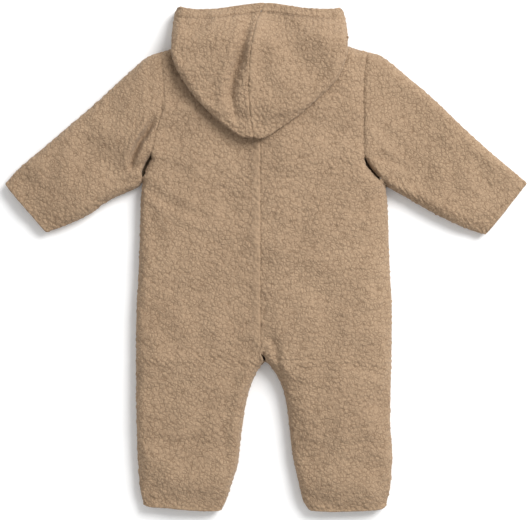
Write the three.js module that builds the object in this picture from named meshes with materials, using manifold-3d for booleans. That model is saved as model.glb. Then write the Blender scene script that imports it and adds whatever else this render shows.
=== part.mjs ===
// A baby's hooded wool-fleece overall, lying face down on a flat surface with its back up and its hood
// flopped down on the back. It is hollow: neck, face, sleeves and legs are open and run into one another.
// Millimetres. +X is the wearer's right, +Y runs from the leg hems to the hood, +Z is up off the surface.
import * as THREE from "three";
import { mergeVertices } from "three/addons/utils/BufferGeometryUtils.js";
import Module from "manifold-3d";

const wasm = await Module();
wasm.setup();

// ---- Cloth and how thick each part lies ----
const fleece = 4.5; // napped wool fleece
const gap = 0.3; // between neighbouring pieces that are sewn together
const bodyHeight = 28; // front and back layers with the air between them
const bodyEdge = 12; // rounding where the cloth turns over at the side seams
const sleeveHeight = 23;
const sleeveEdge = 10;
const hoodHeight = 18; // the flopped hood, on top of the back
const hoodEdge = 7;

// ---- Body, measured up from the leg hems and out from the centre line ----
const backLength = 575; // leg hem to the side of the neck
const halfNeck = 72;
const napeDrop = 8; // back neckline below the side of the neck
const frontNeckDrop = 44; // front neckline below the side of the neck
const shoulderDrop = 21; // shoulder tip below the side of the neck
const halfShoulder = 145;
const armholeIn = 19; // top of the armhole seam, in from the shoulder tip
const underarm = 399; // height of the underarm point
const halfChest = 148;
const halfWaist = 151.5;
const halfHip = 155.5;
const inseam = 182; // leg hem to the crotch
const legOuterHem = 147;
const legInnerHem = 48;
const legInnerKnee = 31;

// ---- Sleeve ----
const cuffWidth = 76;
const cuffX = 294; // middle of the cuff, out from the centre line
const cuffY = 370.5;
const cuffLean = 39.5; // degrees that the sleeve's end points below level
const sleeveBulge = 7; // how far the sleeve's lower edge bellies out

// ---- Hood ----
const hoodLean = -8; // the hood lies this far to the wearer's left
const faceEdge = 42; // hood's face edge, above the side of the neck
const halfHood = 108.5;
const halfFace = 104.5; // at the face edge
const hoodDrop = 123; // tip of the flopped hood, below the side of the neck
const chinHeight = 18; // height of the hood's front edge above the front neckline, at the zip

// ---- Where the limbs swing ----
const hipX = 79; // a leg turns about this point
const hipAboveCrotch = 32;
const swingClearance = 0.5;

// ---- Facings, tape and trim ----
const cuffFacing = 72; // depth of the facing turned into each sleeve and leg
const facingThickness = 2;
const tapeThickness = 0.9;
const neckTapeWidth = 10;
const loopWidth = 6;
const loopSpan = 44;
const loopSag = 6;
const labelWidth = 22;
const labelLength = 34;
const labelThickness = 0.6;

// ---- Zip ----
const zipGroove = 11; // between the two front edges
const zipBottom = 210; // lower end of the chain, above the leg hem
const zipTapeWidth = 14;
const zipTapeThickness = 0.6;
const toothPitch = 5;
const toothLength = 2.6;
const toothHeight = 3;
const toothGap = 1.3; // slit between the two rows
const sliderLength = 12;
const sliderPlate = 1;
const sliderClearance = 0.4;
const guardWidth = 40;
const guardThickness = 1.6;

// ---- Worked-out places ----
const over = 40; // how far a piece is made past an open end before it is trimmed
const neckY = backLength;
const crotchY = inseam;
const shoulderTip = new THREE.Vector2(halfShoulder, neckY - shoulderDrop);
const armholeTop = new THREE.Vector2(
  halfShoulder - armholeIn,
  neckY - shoulderDrop * (halfShoulder - armholeIn - halfNeck) / (halfShoulder - halfNeck),
);
const underarmPoint = new THREE.Vector2(halfChest, underarm);
const sleeveWay = new THREE.Vector2(1, 0).rotateAround(new THREE.Vector2(), -THREE.MathUtils.degToRad(cuffLean));
const cuffMiddle = new THREE.Vector2(cuffX, cuffY);
const cuffSide = new THREE.Vector2(-sleeveWay.y, sleeveWay.x).multiplyScalar(cuffWidth / 2);
const cuffUpper = cuffMiddle.clone().add(cuffSide);
const cuffLower = cuffMiddle.clone().sub(cuffSide);
const hip = new THREE.Vector2(hipX, crotchY + hipAboveCrotch);
const hipRadius = hip.distanceTo(new THREE.Vector2(0, crotchY)) + 2; // a leg slides round this circle
const faceY = neckY + faceEdge;
const hoodTipY = neckY - hoodDrop;
const frontNeckY = neckY - frontNeckDrop;
const zipTop = frontNeckY + chinHeight - 4;
const totalLength = faceY;
const seamZ = bodyHeight * 0.45; // height of the side seams
const hoodZ = bodyHeight + gap;
const bodyRound = Math.min(bodyEdge, bodyHeight / 2 - 1); // a rounding is never more than half the height
const sleeveRound = Math.min(sleeveEdge, sleeveHeight / 2 - 1);
const hoodRound = Math.min(hoodEdge, hoodHeight / 2 - 1);
const hingeY = neckY + gap;
const tall = bodyHeight + hoodHeight + 20;

// ---- Tools for making solids ----
function solidOf(geometry) {
  const bare = geometry.index ? geometry.toNonIndexed() : geometry.clone();
  for (const name of ["normal", "uv"]) bare.deleteAttribute(name);
  const merged = mergeVertices(bare, 1e-3);
  return new wasm.Manifold(
    new wasm.Mesh({
      numProp: 3,
      vertProperties: merged.attributes.position.array,
      triVerts: new Uint32Array(merged.index.array),
    }),
  );
}

function geometryOf(solid) {
  const mesh = solid.getMesh();
  const positions = new Float32Array(mesh.numVert * 3);
  for (let i = 0; i < mesh.numVert; i++) {
    positions.set(mesh.vertProperties.subarray(i * mesh.numProp, i * mesh.numProp + 3), i * 3);
  }
  const geometry = new THREE.BufferGeometry();
  geometry.setAttribute("position", new THREE.BufferAttribute(positions, 3));
  geometry.setIndex(new THREE.BufferAttribute(new Uint32Array(mesh.triVerts), 1));
  geometry.computeVertexNormals();
  return geometry;
}

// An upright solid over a closed outline, from bottom to top, with its upper and lower edges rounded.
function slab(outline, bottom, top, edge = 0) {
  return solidOf(
    new THREE.ExtrudeGeometry(new THREE.Shape(outline), {
      depth: top - bottom - 2 * edge,
      bevelEnabled: edge > 0,
      bevelThickness: edge,
      bevelSize: edge,
      bevelOffset: -edge,
      bevelSegments: 3,
      curveSegments: 1,
    }).translate(0, 0, bottom + edge),
  );
}

function block(x0, x1, y0, y1, z0, z1) {
  return solidOf(
    new THREE.BoxGeometry(x1 - x0, y1 - y0, z1 - z0)
      .translate((x0 + x1) / 2, (y0 + y1) / 2, (z0 + z1) / 2),
  );
}

// The outline moved inwards by a distance, each side parallel to where it was.
function inset(outline, distance) {
  const points = THREE.ShapeUtils.isClockWise(outline) ? [...outline].reverse() : outline;
  return points.map((here, i) => {
    const before = points[(i + points.length - 1) % points.length];
    const after = points[(i + 1) % points.length];
    const a = here.clone().sub(before).normalize();
    const b = after.clone().sub(here).normalize();
    const bisector = new THREE.Vector2(-a.y - b.y, a.x + b.x).normalize();
    const reach = distance / Math.max(0.4, bisector.dot(new THREE.Vector2(-a.y, a.x)));
    return here.clone().addScaledVector(bisector, reach);
  });
}

// Cloth all round an outline: a flat tube that lies from one height to another, still closed at its ends.
function clothShell(outline, bottom, top, edge, wall = fleece) {
  return slab(outline, bottom, top, edge)
    .subtract(slab(inset(outline, wall), bottom + wall, top - wall, Math.max(1, edge - wall)));
}

const smooth = (points, steps) =>
  new THREE.SplineCurve(points.map(([x, y]) => new THREE.Vector2(x, y))).getPoints(steps);

const bowed = (from, middle, to, steps) =>
  new THREE.QuadraticBezierCurve(from, middle, to).getPoints(steps);

// ---- Outlines, each made past its open ends ----
const sideSeam = smooth(
  [
    [halfChest, underarm],
    [halfWaist, underarm - 68],
    [halfHip, crotchY + 76],
    [halfHip, crotchY - 107],
    [(halfHip + legOuterHem) / 2 + 1, 26],
    [legOuterHem, 0],
  ],
  12,
);
const inseamLine = smooth(
  [
    [legInnerHem, 0],
    [(legInnerHem + legInnerKnee) / 2 - 1, 40],
    [legInnerKnee, 87],
    [legInnerKnee * 0.78, 136],
    [legInnerKnee * 0.3, crotchY - 10],
    [0, crotchY],
  ],
  10,
);

// Right half of body and leg: it runs past the centre line, the neck, the armhole and the hem.
const bodyOutline = [
  new THREE.Vector2(-over, neckY + over),
  new THREE.Vector2(halfNeck, neckY + over),
  new THREE.Vector2(halfNeck, neckY),
  shoulderTip,
  new THREE.Vector2(halfShoulder + over, shoulderTip.y - 12),
  new THREE.Vector2(halfShoulder + over, underarm + 2),
  ...sideSeam,
  new THREE.Vector2(legOuterHem, -over),
  new THREE.Vector2(legInnerHem, -over),
  ...inseamLine,
  new THREE.Vector2(-over, crotchY),
];

// Right sleeve: it runs past the armhole and the cuff.
const sleeveUpper = cuffUpper.clone().addScaledVector(sleeveWay, over);
const sleeveLower = cuffLower.clone().addScaledVector(sleeveWay, over);
const sleeveBelly = underarmPoint.clone().lerp(cuffLower, 0.55).sub(new THREE.Vector2(0, 2 * sleeveBulge));
const sleeveOutline = [
  new THREE.Vector2(halfNeck, neckY),
  shoulderTip,
  ...bowed(shoulderTip, shoulderTip.clone().lerp(cuffUpper, 0.6).add(new THREE.Vector2(5, 5)), cuffUpper, 6).slice(1),
  sleeveUpper,
  sleeveLower,
  ...bowed(cuffLower, sleeveBelly, underarmPoint, 6),
  new THREE.Vector2(halfChest - over, underarm + 8),
];

// Right half of the hood: it runs past its centre seam and its face edge.
const hoodOutline = [
  new THREE.Vector2(-over, hoodTipY),
  ...smooth(
    [
      [0, hoodTipY],
      [halfHood * 0.24, hoodTipY + 7],
      [halfHood * 0.45, hoodTipY + 19],
      [halfHood * 0.67, hoodTipY + 40],
      [halfHood * 0.85, hoodTipY + 64],
      [halfHood * 0.97, hoodTipY + 94],
      [halfHood, neckY - 2],
      [halfFace, faceY],
    ],
    14,
  ),
  new THREE.Vector2(halfFace, faceY + over),
  new THREE.Vector2(-over, faceY + over),
];

// ---- Regions that trim the solids to their seams and open ends ----
const napeLine = bowed(
  new THREE.Vector2(0, neckY - napeDrop),
  new THREE.Vector2(halfNeck * 0.75, neckY - napeDrop),
  new THREE.Vector2(halfNeck, neckY),
  5,
);
const frontNeckLine = bowed(
  new THREE.Vector2(0, frontNeckY),
  new THREE.Vector2(halfNeck * 0.8, frontNeckY),
  new THREE.Vector2(halfNeck, neckY),
  7,
);
const armholeWay = armholeTop.clone().sub(underarmPoint).normalize();
const armholeAbove = armholeTop.clone().addScaledVector(armholeWay, over);

// Inside the armhole seams and below one of the two necklines.
function bodyRegion(neckline, z0, z1) {
  return slab(
    [
      ...neckline,
      new THREE.Vector2(halfNeck, neckY + over),
      armholeAbove,
      underarmPoint,
      new THREE.Vector2(halfHip + over, underarm),
      new THREE.Vector2(halfHip + over, 0),
      new THREE.Vector2(0, 0),
    ],
    z0,
    z1,
  );
}

// Past the armhole seam, or past a line that far back from the cuff, and short of the cuff.
function sleeveRegion(depth = 0) {
  const outwards = new THREE.Vector2(armholeWay.y, -armholeWay.x);
  const side = cuffSide.clone().multiplyScalar(5);
  const backFromCuff = cuffMiddle.clone().addScaledVector(sleeveWay, -depth);
  const from = depth > 0
    ? [backFromCuff.clone().add(side), backFromCuff.clone().sub(side)]
    : [armholeAbove, underarmPoint.clone().addScaledVector(armholeWay, -2 * over)]
        .map((point) => point.clone().addScaledVector(outwards, swingClearance));
  return slab([...from, cuffMiddle.clone().sub(side), cuffMiddle.clone().add(side)], -1, tall);
}

const hipDisc = (radius, z0, z1) =>
  solidOf(
    new THREE.CylinderGeometry(radius, radius, z1 - z0, 40)
      .rotateX(Math.PI / 2)
      .translate(hip.x, hip.y, (z0 + z1) / 2),
  );

// Everything that stays with the body: above the hip, and inside the hip's disc.
const hipLine = hip.y - 20;
const aboveHip = block(-1, halfHip + over, hipLine, neckY + over, -1, tall).add(hipDisc(hipRadius, -1, tall));
const belowHip = block(-over, halfHip + over, -over, hipLine - gap, -1, tall)
  .subtract(hipDisc(hipRadius + swingClearance, -2, tall + 1));

// ---- Body and leg panels, right side ----
const bodyShell = clothShell(bodyOutline, 0, bodyHeight, bodyRound);
const offCentre = block(gap / 2, halfHip + 2 * over, -over, neckY + 2 * over, -1, tall);
const backHalf = bodyRegion(napeLine, seamZ + gap / 2, tall).intersect(offCentre);
const frontHalf = bodyRegion(frontNeckLine, -1, seamZ - gap / 2)
  .intersect(offCentre)
  .subtract(block(-1, zipGroove / 2, zipBottom - 5, neckY + over, -2, tall));

const backPanel = bodyShell.intersect(backHalf).intersect(aboveHip);
const frontPanel = bodyShell.intersect(frontHalf).intersect(aboveHip);
const backLeg = bodyShell.intersect(backHalf).intersect(belowHip);
const frontLeg = bodyShell.intersect(frontHalf).intersect(belowHip);

const legFacing = clothShell(
  inset(bodyOutline, fleece + gap),
  fleece + gap,
  bodyHeight - fleece - gap,
  bodyRound - fleece - 2 * gap,
  facingThickness,
).intersect(block(1, halfHip, 0, cuffFacing, -1, tall));

// ---- Sleeve and its facing, right side ----
const sleeve = clothShell(sleeveOutline, 0, sleeveHeight, sleeveRound).intersect(sleeveRegion());
const sleeveFacing = clothShell(
  inset(sleeveOutline, fleece + gap),
  fleece + gap,
  sleeveHeight - fleece - gap,
  sleeveRound - fleece - 2 * gap,
  facingThickness,
).intersect(sleeveRegion(cuffFacing));

// ---- Hood, right half: the crown turns up off the back, the brim stays with the neck ----
// Between them, on top, lies the slack cloth that the crown takes up as it turns.
const hoodTop = hoodZ + hoodHeight;
const slackY = hingeY + hoodHeight + gap; // far enough past the hinge for the crown to turn upright
const hoodHalf = block(gap / 2, halfHood + over, frontNeckY, faceY, -1, tall);
const crown = clothShell(hoodOutline, hoodZ, hoodTop, hoodRound)
  .intersect(block(gap / 2, halfHood + over, hoodTipY - 1, neckY, -1, tall));
const brimShell = clothShell(hoodOutline, 0, hoodTop, hoodRound);
const slack = brimShell
  .intersect(hoodHalf)
  .intersect(block(-over, halfHood + over, hingeY, slackY - gap, hoodZ, tall));

// The brim's upper layer runs on from the slack to the face edge. Its lower layer runs from the front
// neckline to a face edge that slants from the chin to the corners.
function brim(lean) {
  const shifted = frontNeckLine.map((p) => new THREE.Vector2(p.x - lean, p.y + 2 * gap));
  const aboveNeckline = slab(
    [
      ...shifted,
      new THREE.Vector2(halfHood + over, neckY + gap),
      new THREE.Vector2(halfHood + over, faceY),
      new THREE.Vector2(-over, faceY),
      new THREE.Vector2(-over, frontNeckY + 2 * gap),
    ],
    -1,
    seamZ,
  );
  const sides = block(-over, halfHood + over, hingeY, faceY, seamZ, hoodZ - gap);
  const upper = block(-over, halfHood + over, slackY, faceY, hoodZ - gap, tall);
  const faceCut = slab(
    [
      new THREE.Vector2(-lean - over, frontNeckY + chinHeight),
      new THREE.Vector2(-lean, frontNeckY + chinHeight),
      new THREE.Vector2(halfFace - 3, faceY - 3),
      new THREE.Vector2(halfFace - 3, faceY + 1),
      new THREE.Vector2(-lean - over, faceY + 1),
    ],
    -2,
    seamZ,
  );
  const grooveCut = block(-over - lean, zipGroove / 2 - lean, frontNeckY - 1, faceY, -2, seamZ);
  return brimShell
    .intersect(hoodHalf)
    .intersect(aboveNeckline.add(sides).add(upper))
    .subtract(faceCut)
    .subtract(grooveCut);
}

// ---- Trim inside the nape ----
const underBack = bodyHeight - fleece - gap;
function neckTape() {
  const across = halfNeck - 14;
  return block(-across, across, neckY - napeDrop - neckTapeWidth - 2, neckY - napeDrop - 2, underBack - tapeThickness, underBack);
}
const tapeUnder = underBack - tapeThickness - gap;

function hangerLoop() {
  const top = smooth(
    [
      [-loopSpan / 2, 0],
      [-loopSpan / 4, -loopSag * 0.75],
      [0, -loopSag],
      [loopSpan / 4, -loopSag * 0.75],
      [loopSpan / 2, 0],
    ],
    16,
  );
  const under = top.map((point) => new THREE.Vector2(point.x, point.y - tapeThickness)).reverse();
  return solidOf(
    new THREE.ExtrudeGeometry(new THREE.Shape([...top, ...under]), { depth: loopWidth, bevelEnabled: false })
      .rotateX(Math.PI / 2)
      .translate(0, neckY - napeDrop - 2 - (neckTapeWidth - loopWidth) / 2, tapeUnder),
  );
}

function careLabel() {
  const top = neckY - napeDrop - neckTapeWidth - 4;
  return block(-loopSpan - labelWidth, -loopSpan, top - labelLength, top, underBack - labelThickness, underBack);
}

// ---- Zip ----
const chainZ = fleece + zipTapeThickness + 0.2; // middle of the chain
const zipTape = block(
  toothGap / 2 + 0.4,
  toothGap / 2 + 0.4 + zipTapeWidth,
  zipBottom - 8,
  zipTop,
  chainZ - zipTapeThickness / 2,
  chainZ + zipTapeThickness / 2,
);
// The tape is trimmed to make room for the row of teeth that grips its edge.
const toothRoot = toothGap / 2 + toothLength;
const clearTape = zipTape.subtract(block(-1, toothRoot + gap, zipBottom - 9, zipTop + 1, 0, 12));

// One row: a spine with a tooth at each pitch, the other row's teeth standing half a pitch further on.
function teethRow(offset) {
  let row = block(toothRoot - 0.9, toothRoot, zipBottom, zipTop - 3, chainZ - 1, chainZ + 1);
  const count = Math.floor((zipTop - 3 - zipBottom - offset) / toothPitch);
  for (let i = 0; i < count; i++) {
    const y = zipBottom + offset + i * toothPitch + 0.4;
    const tooth = block(toothGap / 2, toothRoot - 0.4, y, y + toothPitch * 0.45, chainZ - toothHeight / 2, chainZ + toothHeight / 2);
    row = row.add(tooth);
  }
  return row;
}

const topStop = block(toothGap / 2, toothRoot, zipTop - 3 + gap, zipTop - 0.3, chainZ - 1.4, chainZ + 1.4);
const bottomStop = block(-toothRoot, toothRoot, zipBottom - 4, zipBottom - gap, chainZ - 1.5, chainZ + 1.5)
  .subtract(block(toothRoot - 0.6, toothRoot + 1, zipBottom - 9, zipTop, chainZ - 0.9, chainZ + 0.9))
  .subtract(block(-toothRoot - 1, -toothRoot + 0.6, zipBottom - 9, zipTop, chainZ - 0.9, chainZ + 0.9));

// The slider: two plates either side of the chain, held together by a blade that runs in its slit.
const sliderTopY = zipTop - 5;
const halfSlider = zipGroove / 2 - sliderClearance;
const outerPlateZ = chainZ - toothHeight / 2 - sliderClearance - sliderPlate;
const innerPlateZ = chainZ + toothHeight / 2 + sliderClearance;
const pinZ = outerPlateZ - 1.15;
const pinY = sliderTopY - sliderLength * 0.4;
const pinRadius = 0.4;
const earHalfGap = 1.9;
const earThickness = 0.8;

function zipSlider() {
  const plate = (z) => block(-halfSlider, halfSlider, sliderTopY - sliderLength, sliderTopY, z, z + sliderPlate);
  const blade = block(-toothGap / 2 + 0.35, toothGap / 2 - 0.35, sliderTopY - 5, sliderTopY - 1, outerPlateZ + 0.2, innerPlateZ + 0.2);
  const ear = (x) => block(x, x + earThickness, pinY - 1.4, pinY + 1.4, pinZ - 0.75, outerPlateZ + 0.2);
  const pin = solidOf(
    new THREE.CylinderGeometry(pinRadius, pinRadius, 2 * (earHalfGap + earThickness / 2), 10)
      .rotateZ(Math.PI / 2)
      .translate(0, pinY, pinZ),
  );
  return plate(outerPlateZ)
    .add(plate(innerPlateZ))
    .add(blade)
    .add(ear(-earHalfGap - earThickness))
    .add(ear(earHalfGap))
    .add(pin);
}

// The pull: an eye round the slider's pin and a flat tab, lying along the chain.
function zipPull() {
  const tabLength = 24;
  const eyeRadius = pinRadius + 0.15;
  const tab = new THREE.Shape([
    new THREE.Vector2(-1.5, 0.9),
    new THREE.Vector2(-1.5, -3),
    new THREE.Vector2(-3, -7),
    new THREE.Vector2(-3, -tabLength + 2),
    new THREE.Vector2(-1.6, -tabLength),
    new THREE.Vector2(1.6, -tabLength),
    new THREE.Vector2(3, -tabLength + 2),
    new THREE.Vector2(3, -7),
    new THREE.Vector2(1.5, -3),
    new THREE.Vector2(1.5, 0.9),
  ]);
  const flat = solidOf(
    new THREE.ExtrudeGeometry(tab, { depth: 1.3, bevelEnabled: false }).translate(0, pinY, pinZ - 0.65),
  );
  const eye = solidOf(
    new THREE.CylinderGeometry(eyeRadius, eyeRadius, 8, 12).rotateZ(Math.PI / 2).translate(0, pinY, pinZ),
  );
  return flat.subtract(eye);
}

// The guards lie behind the chain, each sewn down to the front along one side.
const guardZ = innerPlateZ + sliderPlate + gap;
const sewnWidth = 4;
function guard(side, halfWidth, bottom, top) {
  const leaf = block(-halfWidth, halfWidth, bottom, top, guardZ, guardZ + guardThickness);
  const from = side * (halfWidth - sewnWidth);
  const to = side * halfWidth;
  return leaf.add(
    block(Math.min(from, to), Math.max(from, to), bottom, top, fleece + gap, guardZ + guardThickness),
  );
}
const zipGuard = guard(-1, guardWidth / 2, zipBottom - 10, frontNeckY - 22);
const chinGuard = guard(1, guardWidth / 2, frontNeckY - 20, zipTop);

// ---- Assembly ----
const colours = {
  fleece: new THREE.Color(0.46, 0.32, 0.21),
  tape: new THREE.Color(0.42, 0.3, 0.2),
  label: new THREE.Color(0.86, 0.83, 0.77),
  metal: new THREE.Color(0.55, 0.47, 0.36),
};
const materials = {
  fleece: new THREE.MeshStandardMaterial({ color: colours.fleece, roughness: 0.95, metalness: 0 }),
  tape: new THREE.MeshStandardMaterial({ color: colours.tape, roughness: 0.8, metalness: 0 }),
  label: new THREE.MeshStandardMaterial({ color: colours.label, roughness: 0.7, metalness: 0 }),
  metal: new THREE.MeshStandardMaterial({ color: colours.metal, roughness: 0.35, metalness: 1 }),
};

const overall = new THREE.Group();
overall.position.y = -totalLength / 2;
const hood = new THREE.Group();
hood.position.x = hoodLean;
overall.add(hood);

function add(name, shape, material, parent = overall) {
  const mesh = new THREE.Mesh(shape.isBufferGeometry ? shape : geometryOf(shape), material);
  mesh.name = name;
  parent.add(mesh);
  return mesh;
}

// The same piece on both sides: the right one as made, the left one mirrored.
function addPair(name, solid, material, parent = overall) {
  const geometry = geometryOf(solid);
  add(name("right"), geometry, material, parent);
  add(name("left"), geometry, material, parent).scale.x = -1;
}

addPair((side) => `back_${side}_panel`, backPanel, materials.fleece);
addPair((side) => `front_${side}_panel`, frontPanel, materials.fleece);
addPair((side) => `${side}_leg_back`, backLeg, materials.fleece);
addPair((side) => `${side}_leg_front`, frontLeg, materials.fleece);
addPair((side) => `${side}_leg_facing`, legFacing, materials.fleece);
addPair((side) => `${side}_sleeve`, sleeve, materials.fleece);
addPair((side) => `${side}_sleeve_facing`, sleeveFacing, materials.fleece);
addPair((side) => `hood_${side}_crown`, crown, materials.fleece, hood);
addPair((side) => `hood_${side}_slack`, slack, materials.fleece, hood);
add("hood_right_brim", brim(hoodLean), materials.fleece, hood);
add("hood_left_brim", brim(-hoodLean), materials.fleece, hood).scale.x = -1;

add("neck_tape", neckTape(), materials.tape);
add("hanger_loop", hangerLoop(), materials.tape);
add("care_label", careLabel(), materials.label);

addPair((side) => `zip_tape_${side}`, clearTape, materials.tape);
add("zip_teeth_right", teethRow(0), materials.metal);
add("zip_teeth_left", teethRow(toothPitch / 2), materials.metal).scale.x = -1;
addPair((side) => `zip_top_stop_${side}`, topStop, materials.metal);
add("zip_bottom_stop", bottomStop, materials.metal);
add("zip_slider", zipSlider(), materials.metal);
add("zip_pull", zipPull(), materials.metal);
add("zip_guard", zipGuard, materials.tape);
add("chin_guard", chinGuard, materials.fleece);

export default overall;
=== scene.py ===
import math

import bpy
import numpy as np
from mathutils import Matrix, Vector


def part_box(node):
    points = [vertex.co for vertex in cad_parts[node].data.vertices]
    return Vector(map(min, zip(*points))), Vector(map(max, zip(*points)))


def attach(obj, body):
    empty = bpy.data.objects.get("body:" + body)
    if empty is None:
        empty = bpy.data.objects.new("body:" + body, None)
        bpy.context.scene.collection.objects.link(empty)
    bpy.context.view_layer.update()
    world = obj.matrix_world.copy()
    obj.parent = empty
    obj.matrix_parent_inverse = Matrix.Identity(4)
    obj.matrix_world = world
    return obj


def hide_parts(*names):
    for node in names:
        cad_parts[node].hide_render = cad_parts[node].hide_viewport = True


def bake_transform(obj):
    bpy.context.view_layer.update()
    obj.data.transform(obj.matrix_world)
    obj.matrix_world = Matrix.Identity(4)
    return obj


# A baby's hooded wool-fleece overall, laid flat with its back up. All shapes below are in millimetres in the
# frame of the CAD model and become metres when a mesh is made.
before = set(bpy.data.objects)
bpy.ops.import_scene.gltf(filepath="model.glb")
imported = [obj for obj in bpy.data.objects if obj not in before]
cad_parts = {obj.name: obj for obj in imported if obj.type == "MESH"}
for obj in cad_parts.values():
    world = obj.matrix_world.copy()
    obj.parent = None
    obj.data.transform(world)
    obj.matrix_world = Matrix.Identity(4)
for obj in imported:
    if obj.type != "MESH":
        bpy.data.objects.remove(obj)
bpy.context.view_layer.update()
MM = 0.001

# ---- Cloth ----
CLOTH = 3.4  # thickness of the fleece
SEAM_Z = 11.0  # height at which front and back meet at a closed seam
BACK_Z = 26.0  # outer face of the back
SLEEVE_Z = 21.0
HOOD_Z = 43.5  # outer face of the flopped hood's upper layer
HOOD_UNDER_Z = 30.2  # its lower layer, lying on the back
ROLL = 13.0  # radius with which the cloth turns over at a closed seam
FRONT_Z = 0.45  # outer face of the front, on the surface it lies on
FACING = 2.4  # thickness of the turned-in hems
ZIP_CLEARANCE = 6.9  # from the centre line to each front edge, so that the slider runs free
HOOD_HEM = 11.4  # from the hood's face edge to the row of stitches of its hem
STITCH_PITCH = 3.2

# ---- Flat size of each cut, width and length ----
FLAT = {
    "back": (190, 580), "front": (190, 545), "sleeve": (290, 215), "leg_facing": (220, 78),
    "sleeve_facing": (180, 78), "hood_upper": (140, 175), "hood_under": (125, 140), "lapel": (125, 60),
    "hanger_loop": (10, 60),
}
NARROWEST = 10  # no flat size is given as less than this


# ---- Curves ----
def spline(points, n):
    """n points, evenly spaced, on a smooth curve through the given ones."""
    p = np.array(points, float)
    q = np.concatenate([2 * p[:1] - p[1:2], p, 2 * p[-1:] - p[-2:-1]])
    t = np.linspace(0, 1, 24, endpoint=False)[:, None]
    parts = []
    for i in range(len(q) - 3):
        a, b, c, d = q[i : i + 4]
        parts.append(
            0.5 * (2 * b + (c - a) * t + (2 * a - 5 * b + 4 * c - d) * t**2 + (3 * b - a - 3 * c + d) * t**3)
        )
    dense = np.concatenate(parts + [q[-2:-1]])
    return resample(dense, n)


def resample(line, n):
    step = np.linalg.norm(np.diff(line, axis=0), axis=1)
    at = np.concatenate([[0], np.cumsum(step)])
    want = np.linspace(0, at[-1], n)
    return np.stack([np.interp(want, at, line[:, k]) for k in range(line.shape[1])], axis=1)


def near(xy, line):
    """For each point, its distance from a line, and where along it (0 to 1) the nearest place is."""
    line = np.asarray(line, float)
    flat = xy.reshape(-1, 2)
    best = np.full(len(flat), 1e9)
    along = np.zeros(len(flat))
    lengths = np.linalg.norm(np.diff(line, axis=0), axis=1)
    before = np.concatenate([[0], np.cumsum(lengths)])
    for i in range(len(line) - 1):
        a, d = line[i], line[i + 1] - line[i]
        t = np.clip(((flat - a) @ d) / max(d @ d, 1e-9), 0, 1)
        off = flat - (a + t[:, None] * d)
        dist = np.hypot(off[:, 0], off[:, 1])
        closer = dist < best
        best = np.where(closer, dist, best)
        along = np.where(closer, (before[i] + t * lengths[i]) / before[-1], along)
    shape = xy.shape[:-1]
    return best.reshape(shape), along.reshape(shape)


def smoothstep(x, low, high):
    t = np.clip((x - low) / (high - low), 0, 1)
    return t * t * (3 - 2 * t)


def ripple(x, y, scale, seed):
    """A smooth random field of about unit height, whose waves are about scale long."""
    rng = np.random.default_rng(seed)
    total = 0
    for _ in range(14):
        angle, phase = rng.uniform(0, 2 * math.pi, 2)
        k = 2 * math.pi / (scale * rng.uniform(0.75, 1.4))
        total = total + np.cos(k * (x * math.cos(angle) + y * math.sin(angle)) + phase)
    return total / math.sqrt(7)


# ---- Outlines: right is +X. The two sides differ a little, as cloth that was laid by hand does ----
SIDE = {
    1: [(148, 90), (151, 60), (152.5, 15), (154, -25), (156, -60), (155.5, -125), (154, -198), (156.5, -235),
        (155.5, -265), (153.5, -284), (149.5, -300)],
    -1: [(-148.5, 92), (-150.5, 70), (-151.5, 30), (-153.5, -25), (-156, -76), (-156, -180), (-154.5, -235),
         (-152.5, -271), (-150.5, -287), (-146.5, -302)],
}
INSEAM = {
    1: [(1.2, -127.5), (5.5, -130), (11, -137), (18.5, -149), (25, -167), (29.3, -192), (32.5, -222),
        (36, -247), (41.5, -271), (47.5, -296), (55, -308.3)],
    -1: [(1.2, -127.5), (-2.5, -130.5), (-7.3, -137), (-13.4, -149.5), (-19.5, -167), (-24.5, -192),
         (-28.6, -222), (-32, -252), (-38, -271), (-46, -296), (-52, -308.5)],
}
HEM = {
    1: [(55, -308.3), (75, -309), (110, -308.8), (137, -307.6), (146, -305), (149.5, -300)],
    -1: [(-52, -308.5), (-75, -308.6), (-105, -306), (-135, -303.8), (-142, -303.2), (-146.5, -302)],
}
ARMHOLE = {
    1: [(148, 90), (139, 98), (130, 107), (123.5, 118), (121, 132), (121, 170), (121.5, 215), (126, 251)],
    -1: [(-148.5, 92), (-146, 108), (-138.5, 122), (-134.5, 140), (-131, 158), (-124.5, 180), (-122.5, 211),
         (-126, 251)],
}
SLEEVE_UNDER = {
    1: [(148, 90), (154, 84.5), (171, 75), (188, 65.3), (205, 55.5), (224.5, 45.8), (245, 36.5), (270, 28)],
    -1: [(-148.5, 92), (-156, 85), (-179, 75), (-197, 65), (-209, 55.5), (-227, 46), (-250, 36.5), (-266, 31)],
}
SLEEVE_OVER = {
    1: [(126, 251), (145, 245), (174.5, 221.4), (210, 191), (239, 163), (271, 133.6), (299, 110),
        (311, 100), (321, 91)],
    -1: [(-126, 251), (-143, 244.5), (-170, 221.4), (-203, 191), (-235.5, 163), (-270, 133.6), (-296, 112),
         (-307, 101), (-316, 90)],
}
HOOD = {
    1: [(-12, 143.5), (1, 145), (22.5, 158.5), (49, 178), (75.5, 202), (91.5, 221), (100, 246), (101.3, 260),
        (101, 279), (99.6, 291), (97, 299), (92.5, 302.5)],
    -1: [(-12, 143.5), (-31, 148.5), (-57, 167), (-83.5, 194), (-102, 221), (-111.2, 241.5), (-112.3, 260),
         (-111.3, 281), (-110, 295), (-107.5, 302), (-102.5, 304)],
}
FACE_EDGE = {
    1: [(1, 309), (12, 308.5), (30, 306), (49.5, 303), (76, 301.8), (92.5, 302.5)],
    -1: [(1, 309), (-7, 309), (-31, 306), (-56, 302.5), (-79, 301.5), (-94, 303), (-102.5, 304)],
}
NECK = [(0, 258.5), (30, 259.3), (54, 262), (72, 266.5)]
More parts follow.
